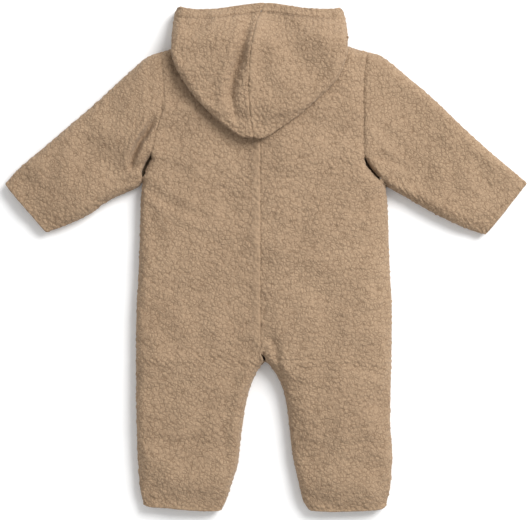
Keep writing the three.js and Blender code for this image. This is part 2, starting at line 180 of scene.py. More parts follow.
FRONT_NECK = [(5, 222.6), (30, 225), (52, 236), (66, 252), (72, 266.5)]
CENTRE = [(1.2, -127.5), (-1, -118), (-4, -100), (-4.3, 60), (-4.5, 140), (-2, 220), (0, 258.5)]
HOOD_SEAM = [(-12, 143.5), (-16, 165), (-18.3, 195), (-18, 225), (-14.5, 262), (-8, 290), (1, 309)]
HOLE = {1: [(139, 98), (130, 107), (124.5, 116)], -1: [(-147, 103), (-145.4, 110), (-139.5, 120)]}

LINES = {}
for s in (1, -1):
    LINES["side", s] = spline(SIDE[s], 60)
    LINES["inseam", s] = spline(INSEAM[s], 60)
    LINES["hem", s] = spline(HEM[s], 40)
    LINES["armhole", s] = spline(ARMHOLE[s], 50)
    LINES["under", s] = spline(SLEEVE_UNDER[s], 40)
    LINES["over", s] = spline(SLEEVE_OVER[s], 50)
    LINES["shoulder", s] = np.array([(72.0 * s, 266.5), (126.0 * s, 251)])
    LINES["hood", s] = spline(HOOD[s], 70)
    LINES["face", s] = spline(FACE_EDGE[s], 40)
    LINES["hole", s] = spline(HOLE[s], 20)
    LINES["cuff", s] = np.array([LINES["under", s][-1], LINES["over", s][-1]])
LINES["centre"] = spline(CENTRE, 60)
LINES["front_centre"] = spline([(1.2, -127.5), (0.4, -118), (0, -104), (0, 60), (0, 222.6)], 60)
LINES["hood_seam"] = spline(HOOD_SEAM, 50)
CLOSED = [LINES[name, s] for s in (1, -1) for name in ("side", "inseam", "under", "over", "shoulder")]
HOOD_EDGE = np.concatenate([LINES["hood", -1][::-1], LINES["hood", 1][1:]])


# ---- Creases and seams pressed into the cloth: line, depth, half width, where it is deepest (0 to 1) ----
def crease(points, depth, width, peak=0.5, n=24):
    return spline(points, n), depth, width, peak


CREASES = [
    crease([(-149, 88), (-136, 78), (-112, 66), (-88, 54), (-62, 48)], 2.2, 6.5, 0.1),
    crease([(-150, 108), (-130, 112), (-108, 108), (-84, 98)], 1.3, 7, 0.1),
    crease([(-147, 70), (-138, 52), (-131, 30), (-128, 4)], 1.4, 7, 0.1),
    crease([(148, 86), (136, 70), (118, 58), (94, 52)], 1.8, 7, 0.1),
    crease([(147, 72), (140, 48), (135, 20)], 1.3, 6, 0.15),
    crease([(124, 116), (108, 108), (88, 104)], 1.1, 6, 0.1),
    crease([(9, -92), (15, -110), (17.5, -128), (21, -152)], 2.6, 4.6, 0.55),
    crease([(4, -118), (22, -106), (48, -100), (80, -104)], 0.7, 9, 0.1),
    crease([(-3, -118), (-24, -108), (-52, -104), (-84, -110)], 0.7, 9, 0.1),
    crease([(-22, -160), (-42, -150), (-70, -148)], 1.0, 7, 0.2),
    crease([(26, -166), (50, -158), (74, -158)], 1.0, 7, 0.2),
    crease([(-150, -226), (-120, -222), (-84, -226), (-40, -224)], 0.8, 5, 0.1),
    crease([(154, -230), (120, -225), (84, -229), (44, -226)], 0.7, 5, 0.1),
    crease([(-110, 40), (-70, 20), (-30, 12)], 0.8, 10, 0.4),
    crease([(30, 30), (70, 10), (112, 2)], 0.8, 10, 0.5),
    crease([(-120, -60), (-84, -70), (-40, -62)], 0.8, 10, 0.5),
    crease([(36, -40), (80, -50), (124, -44)], 0.7, 10, 0.5),
    crease([(20, 105), (60, 92), (100, 98)], 0.8, 9, 0.5),
]
SLEEVE_CREASES = [
    crease([(-131, 171), (-141, 155), (-151, 140), (-159.5, 122), (-162.5, 104)], 11.0, 3.9, 0.4),
    crease([(-141, 112), (-158, 112), (-178, 104), (-196, 92)], 1.6, 5, 0.1),
    crease([(-148, 94), (-168, 92), (-190, 84)], 1.2, 4.5, 0.1),
    crease([(-126, 200), (-146, 196), (-166, 184)], 1.0, 7, 0.3),
    crease([(-196, 150), (-214, 128), (-226, 104), (-228, 80)], 1.1, 8, 0.5),
    crease([(-244, 130), (-258, 108), (-264, 84)], 0.8, 8, 0.5),
    crease([(127, 118), (142, 122), (164, 114), (184, 98)], 2.0, 5, 0.1),
    crease([(148, 92), (166, 96), (188, 86)], 1.3, 4.5, 0.1),
    crease([(128, 175), (142, 158), (160, 142), (176, 120)], 1.5, 7, 0.4),
    crease([(206, 150), (222, 126), (232, 100), (232, 74)], 1.1, 8, 0.5),
    crease([(254, 122), (266, 102), (270, 78)], 0.8, 8, 0.5),
]
HOOD_CREASES = [
    crease([(-11, 306), (-19, 280), (-26, 254), (-33, 230), (-38.5, 206), (-37, 188), (-30, 168), (-23, 154)],
           8.0, 6.2, 0.5),
    crease([(-10, 304), (-14, 262), (-16, 225), (-15, 195), (-12, 165)], -4.6, 9, 0.45),
    crease([(12, 300), (26, 278), (34, 250), (34, 222), (28, 200)], 2.6, 13, 0.3),
    crease([(66, 296), (70, 262), (64, 232)], -2.6, 14, 0.4),
    crease([(-60, 300), (-56, 262), (-58, 226), (-50, 190)], -3.4, 15, 0.5),
    crease([(-106, 288), (-84, 276), (-62, 272)], 1.1, 6, 0.2),
    crease([(97, 288), (76, 278), (50, 276)], 1.0, 7, 0.2),
]


def pressed(xy, creases):
    total = np.zeros(xy.shape[:-1])
    for line, depth, width, peak in creases:
        d, along = near(xy, line)
        fade = np.clip(np.where(along < peak, along / max(peak, 1e-3), (1 - along) / (1 - peak)), 0, 1)
        fade = 0.15 + 0.85 * np.sin(fade * math.pi / 2)
        fade *= smoothstep(along, -0.001, 0.04) * smoothstep(1 - along, -0.001, 0.12)
        total -= depth * fade * np.exp(-((d / width) ** 2))
        total += 0.3 * depth * (depth > 0) * fade * np.exp(-(((d - 1.9 * width) / width) ** 2))
    return total


def round_off(d, radius):
    t = np.clip(d / radius, 0, 1)
    return np.sqrt(np.maximum(0, 1 - (1 - t) ** 2))


def edge_distance(xy, lines=CLOSED):
    return np.min([near(xy, line)[0] for line in lines], axis=0)


# ---- Heights of the outer faces ----
def back_height(xy, creases):
    d = edge_distance(xy)
    x, y = xy[..., 0], xy[..., 1]
    high = BACK_Z + (SLEEVE_Z - BACK_Z) * smoothstep(np.abs(x), 118, 190) - 3.5 * smoothstep(-y, 170, 300)
    ends = [near(xy, LINES[name, s])[0] for name in ("hem", "cuff") for s in (1, -1)]
    high -= 6.5 * (1 - smoothstep(np.minimum(ends[2], ends[3]), -4, 46))
    high -= 5.0 * (1 - smoothstep(np.minimum(ends[0], ends[1]), -4, 40))
    body = SEAM_Z + (high - SEAM_Z) * round_off(d, ROLL)
    plump = 2.4 * (1 - np.exp(-d / 40)) * (1 - smoothstep(y, 215, 262))
    waves = 0.8 * ripple(x, y, 80, 3) + 0.45 * ripple(x, y, 36, 4) + 0.2 * ripple(x, y, 17, 5)
    inside = smoothstep(d, 0, 12)
    hole = np.minimum(near(xy, LINES["hole", 1])[0], near(xy, LINES["hole", -1])[0])
    ring = np.hypot(x - 1.8, 0.62 * (y + 116.5))
    curl = 1.5 * np.exp(-(((ring - 6.2) / 1.9) ** 2))
    slit = -3.5 * np.exp(-((near(xy, np.array([(0.2, -125), (-1.6, -117.5)]))[0] / 1.6) ** 2))
    dip = 8.0 * np.exp(-((hole / 4.2) ** 2))
    return body + plump + inside * (waves + pressed(xy, creases)) - dip + curl + slit


def front_height(xy):
    d = edge_distance(xy)
    return SEAM_Z - (SEAM_Z - FRONT_Z) * round_off(d, ROLL)


def hood_edge_height(y):
    return 36.5 - 26.5 * smoothstep(y, 250, 296)


def hood_height(xy):
    d = near(xy, HOOD_EDGE[2:-2])[0]
    x, y = xy[..., 0], xy[..., 1]
    top = HOOD_Z - 21.0 * smoothstep(y, 256, 312) - 3.0 * smoothstep(-y, -185, -140)
    edge = hood_edge_height(y)
    waves = 0.6 * ripple(x, y, 60, 8) + 0.35 * ripple(x, y, 28, 9)
    inside = smoothstep(d, 0, 12)
    return edge + (top - edge) * round_off(d, 12) + inside * (waves + pressed(xy, HOOD_CREASES))


def mirrored(xy):
    """Each point, or its mirror image if it is on the left."""
    return xy * np.sign(xy[..., :1]) ** [1, 0]


def hood_under_height(xy):
    d = near(xy, HOOD_EDGE[2:-2])[0]
    edge = hood_edge_height(xy[..., 1])
    sewn = near(mirrored(xy), np.array([(0, 261), (36, 262.2), (56, 264.6), (84, 268)]))[0]
    return edge - (edge - HOOD_UNDER_Z) * round_off(d, 7) - 7.2 * (1 - smoothstep(sewn, 0.4, 6))


def lapel_height(xy):
    d = near(xy, HOOD_EDGE[2:-2])[0]
    edge = hood_edge_height(xy[..., 1])
    low = edge - (edge - FRONT_Z) * round_off(d, 9)
    over_shoulder = near(mirrored(xy), np.array([(73, 268.5), (101, 263)]))[0]
    wall = (27 + 9 * smoothstep(np.abs(xy[..., 0]), 70, 100)) * (1 - smoothstep(over_shoulder, 0.5, 7))
    return np.maximum(low, wall)


# ---- Patches: grids of points in plan, u across and v along ----
def coons(u, v, low, high, left, right):
    """low and high run along u, left and right along v; the patch meets all four."""
    u, v = u[None, :, None], v[:, None, None]
    low, high, left, right = low[None], high[None], left[:, None], right[:, None]
    corners = (1 - v) * ((1 - u) * low[:, :1] + u * low[:, -1:]) + v * ((1 - u) * high[:, :1] + u * high[:, -1:])
    return (1 - v) * low + v * high + (1 - u) * left + u * right - corners


def crowded(n, width, ends, radius=ROLL, lift=15.0):
    """n places from 0 to 1, closer together where the cloth turns over at a closed end."""
    d = np.linspace(0, width, 2000)
    z = np.zeros_like(d)
    if ends[0]:
        z += lift * round_off(d, radius)
    if ends[1]:
        z += lift * round_off(width - d, radius)
    at = np.concatenate([[0], np.cumsum(np.hypot(np.diff(d), np.diff(z)))])
    return np.interp(np.linspace(0, at[-1], n), at, d) / width


def line_at(line, values, axis):
    """Points of a line at given fractions of its length (axis None) or at given y."""
    if axis is None:
        step = np.concatenate([[0], np.cumsum(np.linalg.norm(np.diff(line, axis=0), axis=1))])
        return np.stack([np.interp(values * step[-1], step, line[:, k]) for k in range(2)], axis=1)
    order = np.argsort(line[:, 1])
    return np.stack([np.interp(values, line[order, 1], line[order, 0]), values], axis=1)


def body_patch(s, nu, nv, neck, top_inner, centre="centre", open_gaps=True):
    """Half of the back or front with its leg, from the hem to the neck; neck is the neckline."""
    inner = np.concatenate([LINES["inseam", s][::-1], LINES[centre][1:]])
    outer = np.concatenate([LINES["side", s][::-1], LINES["armhole", s][1:]])
    y0, y1 = inner[0, 1], top_inner
    v = np.linspace(0, 1, 800)
    dense = 1 + 3.5 * np.exp(-(((y0 + (y1 - y0) * v + 128) / 6) ** 2)) + 1.2 * (v < 0.012) + 1.2 * (v > 0.985)
    at = np.concatenate([[0], np.cumsum((dense[1:] + dense[:-1]) / 2)])
    v = np.interp(np.linspace(0, at[-1], nv), at, v)
    left = line_at(inner, y0 + (y1 - y0) * v, 1)
    right = line_at(outer, outer[0, 1] + (outer[-1, 1] - outer[0, 1]) * v, 1)
    u = crowded(nu, 150, (True, True))
    low = line_at(LINES["hem", s], u, None)
    neckline = np.array([(s * x if i else left[-1, 0], y) for i, (x, y) in enumerate(spline(neck, 30))])
    neckline[0] = left[-1]
    upper = np.concatenate([neckline, LINES["shoulder", s][1:]])
    across = left[-1, 0] + (right[-1, 0] - left[-1, 0]) * u
    order = np.argsort(upper[:, 0])
    high = np.stack([across, np.interp(across, upper[order, 0], upper[order, 1])], axis=1)
    low[0], low[-1] = left[0], right[0]
    high[0], high[-1] = left[-1], right[-1]
    xy = coons(u, v, low, high, left, right)
    return parted(xy, s, -1) if open_gaps else xy


def parted(xy, s, way):
    """Draws the cloth back from the small gap under the arm and the slit at the crotch."""
    gap = 1.9 * np.exp(-((near(xy, LINES["hole", s])[0] / 4.5) ** 2))
    xy[..., 0] += way * s * gap
    slit = near(xy, np.array([(0.2, -124), (-1.6, -118.5)]))[0]
    xy[..., 0] += s * 1.1 * np.exp(-((slit / 2.2) ** 2)) * (way < 0)
    return xy


def sleeve_patch(s, nu, nv, open_gaps=True):
    u = crowded(nu, 76, (True, True))
    v = np.linspace(0, 1, nv)
    low = line_at(LINES["armhole", s], u, None)
    a, b = LINES["under", s][-1], LINES["over", s][-1]
    high = a + (b - a) * u[:, None]
    xy = coons(u, v, low, high, line_at(LINES["under", s], v, None), line_at(LINES["over", s], v, None))
    return parted(xy, s, 1) if open_gaps else xy


def hood_patch(s, nu, nv):
    u = crowded(nu, 105, (False, True), 11, 8)
    v = np.linspace(0.02, 1, nv)
    left = line_at(LINES["hood_seam"], v, None)
    right = line_at(LINES["hood", s], v, None)
    tip = left[0] + (right[0] - left[0]) * u[:, None]
    return coons(u, v, tip, line_at(LINES["face", s], u, None), left, right)


def hood_under_patch(s, nu, nv):
    """The hood's lower layer, from its tip to the neckline that it is sewn to."""
    u = crowded(nu, 105, (False, True), 11, 8)
    v = np.linspace(0.02, 1, nv)
    seam = LINES["hood_seam"][LINES["hood_seam"][:, 1] < 261]
    outer = LINES["hood", s][LINES["hood", s][:, 1] < 264]
    left, right = line_at(seam, v, None), line_at(outer, v, None)
    tip = left[0] + (right[0] - left[0]) * u[:, None]
    nape = [(s * x, y) for x, y in [(18, 261.2), (36, 262.2), (56, 264.6), (73, 267.5)]]
    sewn = [left[-1]] + nape + [right[-1]]
    return coons(u, v, tip, line_at(spline(sewn, 80), u, None), left, right)


def lapel_patch(s, nu, nv):
    """The part of the hood that lies under the rest, from the front neckline to the edge round the face."""
    u, v = crowded(nu, 105, (False, True), 9, 8), np.linspace(0, 1, nv)
    outer = LINES["hood", s][LINES["hood", s][:, 1] > 262]
    neckline = [(5, 222.6), (30, 225), (52, 237), (64, 254), (72, 268.5), (90, 268)]
    corner = np.array([(s * x, y) for x, y in neckline])
    low = resample(np.concatenate([spline(corner, 40), outer[:1]]), 200)
    high = spline([(5.5 * s, 240.5), (38 * s, 258), (72 * s, 284), outer[-1]], 60)
    left = np.array([(5.5 * s, 222.6), (5.5 * s, 240.5)])
    across = [line_at(line, u, None) for line in (low, high)]
    return coons(u, v, *across, *[line_at(line, v, None) for line in (left, outer)])


def facing_patch(s, nu, nv, inner, outer, depth):
    """The turned-in hem of a leg or sleeve, from its end to depth inside it. The lines run inwards."""
    u, v = crowded(nu, 76, (True, True), 8, 8), np.linspace(0, 1, nv)
    sides = []
    for line, way in ((inner, 1), (outer, -1)):
        step = np.concatenate([[0], np.cumsum(np.linalg.norm(np.diff(line, axis=0), axis=1))])
        sides.append(np.stack([np.interp(0.8 + v * depth, step, line[:, k]) for k in range(2)], axis=1))
    across = sides[1] - sides[0]
    across /= np.linalg.norm(across, axis=1, keepdims=True)
    left, right = sides[0] + across * 5.2, sides[1] - across * 5.2
    low = left[0] + (right[0] - left[0]) * u[:, None]
    high = left[-1] + (right[-1] - left[-1]) * u[:, None]
    return coons(u, v, low, high, left, right), left, right


# ---- Meshes ----
def grid_normals(p):
    du = np.gradient(p, axis=1)
    dv = np.gradient(p, axis=0)
    n = np.cross(du, dv)
    return n / np.maximum(np.linalg.norm(n, axis=-1, keepdims=True), 1e-9)


def make_object(name, points, faces, wear_and_highlight=None):
    mesh = bpy.data.meshes.new(name)
    mesh.from_pydata((points * MM).tolist(), [], faces.tolist())
    mesh.update()
    attribute = mesh.attributes.new("rest", "FLOAT_VECTOR", "POINT")
    attribute.data.foreach_set("vector", (points * MM).astype(np.float32).ravel())
    attribute = mesh.attributes.new("wear_and_highlight", "FLOAT", "POINT")
    attribute.data.foreach_set("value", (np.zeros(len(points)) if wear_and_highlight is None else wear_and_highlight).astype(np.float32))
    mesh.shade_smooth()
    obj = bpy.data.objects.new(name, mesh)
    bpy.context.scene.collection.objects.link(obj)
    return obj


def shell(p, up, thickness=CLOTH, nap=0.3, seed=1, bulge=0.9, wear_and_highlight=None):
    """Points and faces of a closed sheet whose outer side is the grid p; up is 1 where that side faces up, and
    -1 where it faces down."""
    n = grid_normals(p)
    rows, columns = p.shape[:2]
    mid = (rows // 2, columns // 2)
    facing = n[mid][2] * up > 0
    if not facing:
        n = -n
    x, y = p[..., 0], p[..., 1]
    tufts = 0.75 * ripple(x + 0.6 * p[..., 2], y, 5.2, seed)
    rough = nap * (tufts + 0.5 * ripple(x, y + p[..., 2], 9.5, seed + 1))
    outer = p + n * rough[..., None]
    inner = p - n * thickness
    count = rows * columns
    index = np.arange(count).reshape(rows, columns)
    quads = np.stack([index[:-1, :-1], index[:-1, 1:], index[1:, 1:], index[1:, :-1]], axis=-1).reshape(-1, 4)
    if not facing:
        quads = quads[:, ::-1]
    ring = np.concatenate([index[0], index[1:, -1], index[-1, -2::-1], index[-2:0:-1, 0]])
    flat_outer, flat_inner, flat_n = outer.reshape(-1, 3), inner.reshape(-1, 3), n.reshape(-1, 3)
    edge = flat_outer[ring]
    tangent = np.roll(edge, -3, axis=0) - np.roll(edge, 3, axis=0)
    tangent /= np.maximum(np.linalg.norm(tangent, axis=1, keepdims=True), 1e-9)
    out = np.cross(tangent, flat_n[ring]) * (1 if facing else -1)
    points, bands = [flat_outer, flat_inner], [ring]
    for share, push in ((0.25, 0.8), (0.5, 1.0), (0.75, 0.8)):
        points.append(edge * (1 - share) + flat_inner[ring] * share + out * bulge * push)
        bands.append(2 * count + (len(bands) - 1) * len(ring) + np.arange(len(ring)))
    bands.append(ring + count)
    faces = [quads, quads[:, ::-1] + count]
    for a, b in zip(bands[:-1], bands[1:]):
        band = np.stack([a, b, np.roll(b, -1), np.roll(a, -1)], axis=1)
        faces.append(band if facing else band[:, ::-1])
    wear_and_highlight = np.zeros(count) if wear_and_highlight is None else wear_and_highlight.ravel()
    wear_and_highlight = np.concatenate([wear_and_highlight, wear_and_highlight] + [wear_and_highlight[ring]] * 3)
    return np.concatenate(points), np.concatenate(faces), wear_and_highlight, area_of(p)


def area_of(p):
    a = np.cross(p[1:, :-1] - p[:-1, :-1], p[:-1, 1:] - p[:-1, :-1])
    b = np.cross(p[1:, :-1] - p[1:, 1:], p[:-1, 1:] - p[1:, 1:])
    return (np.linalg.norm(a, axis=-1).sum() + np.linalg.norm(b, axis=-1).sum()) / 2 * MM * MM


def cloth_piece(name, *shells, flat, rests_on=()):
    """One piece of cloth made of one or more sheets that are sewn together. flat is the cut's width and length;
    it is not used. Its flat area is taken from the shaped surface, so it is no separate measure of the cut.
    The area that each sheet gives is not kept."""
    points, faces, wear_and_highlight, start = [], [], [], 0
    for p, f, w, _ in shells:
        points.append(p)
        faces.append(f + start)
        wear_and_highlight.append(w)
        start += len(p)
    obj = make_object(name, np.concatenate(points), np.concatenate(faces), np.concatenate(wear_and_highlight))
    return obj


def upsample(coarse, rows, columns):
    """A coarse grid of offsets, smoothly filled in to rows by columns."""
    out = coarse
    for axis, n in ((0, rows), (1, columns)):
        m = out.shape[axis]
        at = np.linspace(0, m - 1, n)
        i = np.clip(np.floor(at).astype(int), 0, m - 2)
        t = at - i
        pick = lambda k: np.take(out, np.clip(i + k, 0, m - 1), axis=axis)
        t = t.reshape([-1 if k == axis else 1 for k in range(out.ndim)])
        a, b, c, d = pick(-1), pick(0), pick(1), pick(2)
        out = 0.5 * (2 * b + (c - a) * t + (2 * a - 5 * b + 4 * c - d) * t**2 + (3 * b - a - 3 * c + d) * t**3)
    return out


def settle(grids, cap):
    """How far cloth moves from each coarse grid when it is held at its edges, a little too large for its
    place and lifted by the air under it. All grids are simulated at once."""
    points, faces, held, start = [], [], [], 0
    for g in grids:
        rows, columns = g.shape[:2]
        index = start + np.arange(rows * columns).reshape(rows, columns)
        quads = np.stack([index[:-1, :-1], index[:-1, 1:], index[1:, 1:], index[1:, :-1]], axis=-1).reshape(-1, 4)
        points.append(g.reshape(-1, 3))
        faces.append(quads)
        held += index[[0, -1]].ravel().tolist() + index[:, [0, -1]].ravel().tolist()
        start += rows * columns
    points = np.concatenate(points)
    obj = make_object("settling_cloth", points, np.concatenate(faces))
    group = obj.vertex_groups.new(name="held")
    group.add(sorted(set(held)), 1.0, "REPLACE")
    cloth = obj.modifiers.new("cloth", "CLOTH")
    c = cloth.settings
    c.quality = 6
    c.mass = 0.15
    c.tension_stiffness = c.compression_stiffness = 12
    c.shear_stiffness = 8
    c.bending_stiffness = 0.6
    c.shrink_min = -0.03
    c.vertex_group_mass = "held"
    c.use_pressure = True
    c.uniform_pressure_force = 0.6
    c.effector_weights.gravity = 0
    cloth.collision_settings.use_collision = False
    cloth.point_cache.frame_start, cloth.point_cache.frame_end = 1, 20
    for step in range(1, 21):
        bpy.context.scene.frame_set(step)
    moved = obj.evaluated_get(bpy.context.evaluated_depsgraph_get()).data
    co = np.empty(len(points) * 3, np.float32)
    moved.vertices.foreach_get("co", co)
    offset = co.reshape(-1, 3) / MM - points
    length = np.linalg.norm(offset, axis=1, keepdims=True)
    offset *= cap * np.tanh(length / cap) / np.maximum(length, 1e-6)
    bpy.data.objects.remove(obj)
    bpy.context.scene.frame_set(1)
    out, start = [], 0
    for g in grids:
        rows, columns = g.shape[:2]
        field = offset[start : start + rows * columns].reshape(g.shape)
        for _ in range(2):
            field = np.pad(field, ((1, 1), (1, 1), (0, 0)), mode="edge")
            beside = field[:-2, 1:-1] + field[2:, 1:-1] + field[1:-1, :-2] + field[1:-1, 2:]
            field = (field[1:-1, 1:-1] * 2 + beside) / 6
        fade_v = smoothstep(np.minimum(np.arange(rows), np.arange(rows)[::-1]), 0, 4)
        fade_u = smoothstep(np.minimum(np.arange(columns), np.arange(columns)[::-1]), 0, 4)
        out.append(field * fade_v[:, None, None] * fade_u[None, :, None])
        start += rows * columns
    return out


def lifted(xy, height):
    return np.concatenate([xy, height[..., None]], axis=-1)


# ---- Materials ----
def nodes_of(name):
    material = bpy.data.materials.new(name)
    material.use_nodes = True
    tree = material.node_tree
    return material, tree, tree.nodes["Principled BSDF"]


def add_node(tree, kind, values=None, **settings):
    """A node with its settings, and its inputs linked or given a value."""
    node = tree.nodes.new(kind)
    for key, value in settings.items():
        setattr(node, key, value)
    for key, value in (values or {}).items():
        if isinstance(value, bpy.types.NodeSocket):
            tree.links.new(value, node.inputs[key])
        else:
            node.inputs[key].default_value = value
    return node


def math_node(tree, operation, a, b=0.5):
    return add_node(tree, "ShaderNodeMath", {0: a, 1: b}, operation=operation).outputs[0]


def colour_mix(tree, factor, a, b, blend="MIX"):
    values = {0: factor, 6: a, 7: b}
    return add_node(tree, "ShaderNodeMix", values, data_type="RGBA", blend_type=blend).outputs[2]


def fleece(name, colour, contrast=1.0, depth=1.0):
    """Brushed wool fleece: soft curled tufts about 5 mm across, with painted shade as thin dark lines in the
    grooves winding between them. Where the cloth has wear or is pressed, the tufts lie flat and these lines fade;
    the same value also paints a highlight beside the hood's seam."""
    material, tree, shader = nodes_of(name)
    where = add_node(tree, "ShaderNodeAttribute", attribute_name="rest").outputs["Vector"]
    wear_and_highlight = add_node(tree, "ShaderNodeAttribute", attribute_name="wear_and_highlight").outputs["Fac"]
    curled = where
    for scale, reach in ((110.0, 0.0034), (400.0, 0.0016)):
        wander = add_node(tree, "ShaderNodeTexNoise", {"Vector": where, "Scale": scale, "Detail": 1.0})
        shift = {0: wander.outputs["Color"], 1: (0.5, 0.5, 0.5)}
        shift = add_node(tree, "ShaderNodeVectorMath", shift, operation="SUBTRACT").outputs[0]
        shift = add_node(tree, "ShaderNodeVectorMath", {0: shift, "Scale": reach}, operation="SCALE").outputs[0]
        curled = add_node(tree, "ShaderNodeVectorMath", {0: curled, 1: shift}, operation="ADD").outputs[0]
    lines, domes = [], []
    for scale, width, strength in ((218.0, 0.14, 1.0), (345.0, 0.13, 0.55)):
        gap = add_node(
            tree, "ShaderNodeTexVoronoi", {"Vector": curled, "Scale": scale, "Randomness": 0.95},
            feature="DISTANCE_TO_EDGE",
        ).outputs["Distance"]
        line = add_node(
            tree, "ShaderNodeMapRange", {"Value": gap, "From Max": width, "To Min": 1.0, "To Max": 0.0},
            interpolation_type="SMOOTHSTEP",
        ).outputs[0]
        broken = add_node(
            tree, "ShaderNodeTexNoise", {"Vector": where, "Scale": scale * 0.9, "Detail": 0.0}
        ).outputs["Fac"]
        broken = add_node(
            tree, "ShaderNodeMapRange",
            {"Value": broken, "From Min": 0.3, "From Max": 0.55, "To Min": 0.25 * strength, "To Max": strength}
        ).outputs[0]
        lines.append(math_node(tree, "MULTIPLY", line, broken))
        domes.append(
            add_node(
                tree, "ShaderNodeMapRange", {"Value": gap, "From Max": 0.42}, interpolation_type="SMOOTHSTEP"
            ).outputs[0]
        )
    groove = math_node(tree, "MAXIMUM", lines[0], lines[1])
    groove = math_node(tree, "MULTIPLY", groove, math_node(tree, "SUBTRACT", 1.0, wear_and_highlight))
    fibres = add_node(
        tree, "ShaderNodeTexNoise", {"Vector": where, "Scale": 900.0, "Detail": 2.0, "Roughness": 0.6}
    ).outputs["Fac"]
    patches = add_node(tree, "ShaderNodeTexNoise", {"Vector": where, "Scale": 22.0, "Detail": 2.0}).outputs["Fac"]
    light = tuple(min(1.0, c * 1.1) for c in colour) + (1.0,)
    # dark is the colour of the painted shade in the grooves between the tufts
    dark = tuple(c * (1 - k * contrast) for c, k in zip(colour, (0.47, 0.52, 0.56))) + (1.0,)
    pale = tuple(min(1.0, c * 1.05) for c in colour) + (1.0,)
    # Wear, and the painted highlight beside the hood's seam, mix the colour towards pale.
    tone = colour_mix(tree, wear_and_highlight, light, pale)
    # Painted shade: the grooves between the tufts are darkened towards dark.
    tone = colour_mix(tree, math_node(tree, "MULTIPLY", groove, 0.7), tone, dark)
    mottle = fibres
    tone = colour_mix(tree, 0.2 * contrast, tone, mottle, "SOFT_LIGHT")
    tone = colour_mix(tree, 0.12, tone, patches, "SOFT_LIGHT")
    tree.links.new(tone, shader.inputs["Base Color"])
    shader.inputs["Roughness"].default_value = 0.95
    shader.inputs["Specular IOR Level"].default_value = 0.1
    shader.inputs["Sheen Weight"].default_value = 0.2
    shader.inputs["Sheen Roughness"].default_value = 0.5
    shader.inputs["Sheen Tint"].default_value = (1.0, 0.9, 0.78, 1.0)
    large = math_node(tree, "MULTIPLY", domes[0], 0.75)
    dome = math_node(tree, "ADD", large, math_node(tree, "MULTIPLY", domes[1], 0.3))
    dome = math_node(tree, "MULTIPLY", dome, math_node(tree, "SUBTRACT", 1.0, wear_and_highlight))
    height = math_node(tree, "ADD", math_node(tree, "MULTIPLY", mottle, 0.45), dome)
    height = math_node(tree, "SUBTRACT", height, math_node(tree, "MULTIPLY", groove, 0.4))
    bump = add_node(tree, "ShaderNodeBump", {"Height": height, "Strength": 0.6 * depth, "Distance": 0.001})
    tree.links.new(bump.outputs[0], shader.inputs["Normal"])
    return material


def woven(name, colour, scale=1400.0):
    """Fine twill tape."""
    material, tree, shader = nodes_of(name)
    where = add_node(tree, "ShaderNodeAttribute", attribute_name="rest").outputs["Vector"]
    turned = add_node(tree, "ShaderNodeMapping", {"Vector": where, "Rotation": (0.0, 0.0, math.radians(45))})
    wave = add_node(
        tree, "ShaderNodeTexWave",
        {"Vector": turned.outputs[0], "Scale": scale / 6.0, "Distortion": 1.2, "Detail": 2.0}
    ).outputs["Fac"]
    dark = tuple(c * 0.72 for c in colour) + (1.0,)
    # Painted shade: the low parts of the twill wave, the hollows between the ribs, are darkened towards dark.
    tone = colour_mix(tree, wave, dark, tuple(colour) + (1.0,))
    tree.links.new(tone, shader.inputs["Base Color"])
    shader.inputs["Roughness"].default_value = 0.85
    shader.inputs["Sheen Weight"].default_value = 0.15
    bump = add_node(tree, "ShaderNodeBump", {"Height": wave, "Strength": 0.5, "Distance": 0.0003})
    tree.links.new(bump.outputs[0], shader.inputs["Normal"])
    return material


def aged_metal(name, colour):
    material, tree, shader = nodes_of(name)
    where = add_node(tree, "ShaderNodeTexCoord").outputs["Object"]
    grime = add_node(tree, "ShaderNodeTexNoise", {"Vector": where, "Scale": 900.0, "Detail": 4.0}).outputs["Fac"]
    tone = colour_mix(tree, grime, tuple(c * 0.7 for c in colour) + (1.0,), tuple(colour) + (1.0,))
    tree.links.new(tone, shader.inputs["Base Color"])
    shader.inputs["Metallic"].default_value = 1.0
    rough = add_node(tree, "ShaderNodeMapRange", {"Value": grime, "To Min": 0.28, "To Max": 0.5}).outputs[0]
    tree.links.new(rough, shader.inputs["Roughness"])
    return material


FLEECE = (0.34, 0.237, 0.153)
mat_fleece = fleece("napped_fleece", FLEECE)
mat_lining = fleece("fleece_wrong_side", tuple(c * 0.93 for c in FLEECE), contrast=0.7, depth=0.8)
mat_tape = woven("twill_tape", (0.40, 0.285, 0.19))
mat_label = woven("label_satin", (0.82, 0.78, 0.70), 2600.0)
mat_thread = woven("thread", (0.50, 0.36, 0.25), 3000.0)
mat_metal = aged_metal("aged_brass", (0.52, 0.42, 0.28))


def dress(obj, material, body=None, bend=None, stands_for=()):
    """Gives a piece its material and slot. Without a bend it is attached to the body that it moves with; with a
    bend its transform is only baked into its mesh.
    """
    obj.data.materials.clear()
    obj.data.materials.append(material)
    if bend:
        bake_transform(obj)
    else:
        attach(obj, body)
    if stands_for:
        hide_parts(*stands_for)
    return obj


# ---- The camera, straight above ----
camera_data = bpy.data.cameras.new("camera")
camera = bpy.data.objects.new("camera", camera_data)
bpy.context.scene.collection.objects.link(camera)
camera_data.lens = 120
camera_data.sensor_width = 36
camera_data.clip_end = 20
VIEW_WIDTH = 0.649
camera.location = (0.0024, -0.003, VIEW_WIDTH * camera_data.lens / camera_data.sensor_width + 0.015)
bpy.context.scene.camera = camera

SIDES = {1: "right", -1: "left"}
LEG_BEND = {s: ((0.079 * s, -0.095, 0.014), (0.079 * s, -0.205, 0.014)) for s in SIDES}
ARM_BEND = {s: ((0.149 * s, 0.12, 0.012), (0.215 * s, 0.12, 0.012)) for s in SIDES}
HOOD_BEND = ((0, 0.268, 0.03), (0, 0.224, 0.03))

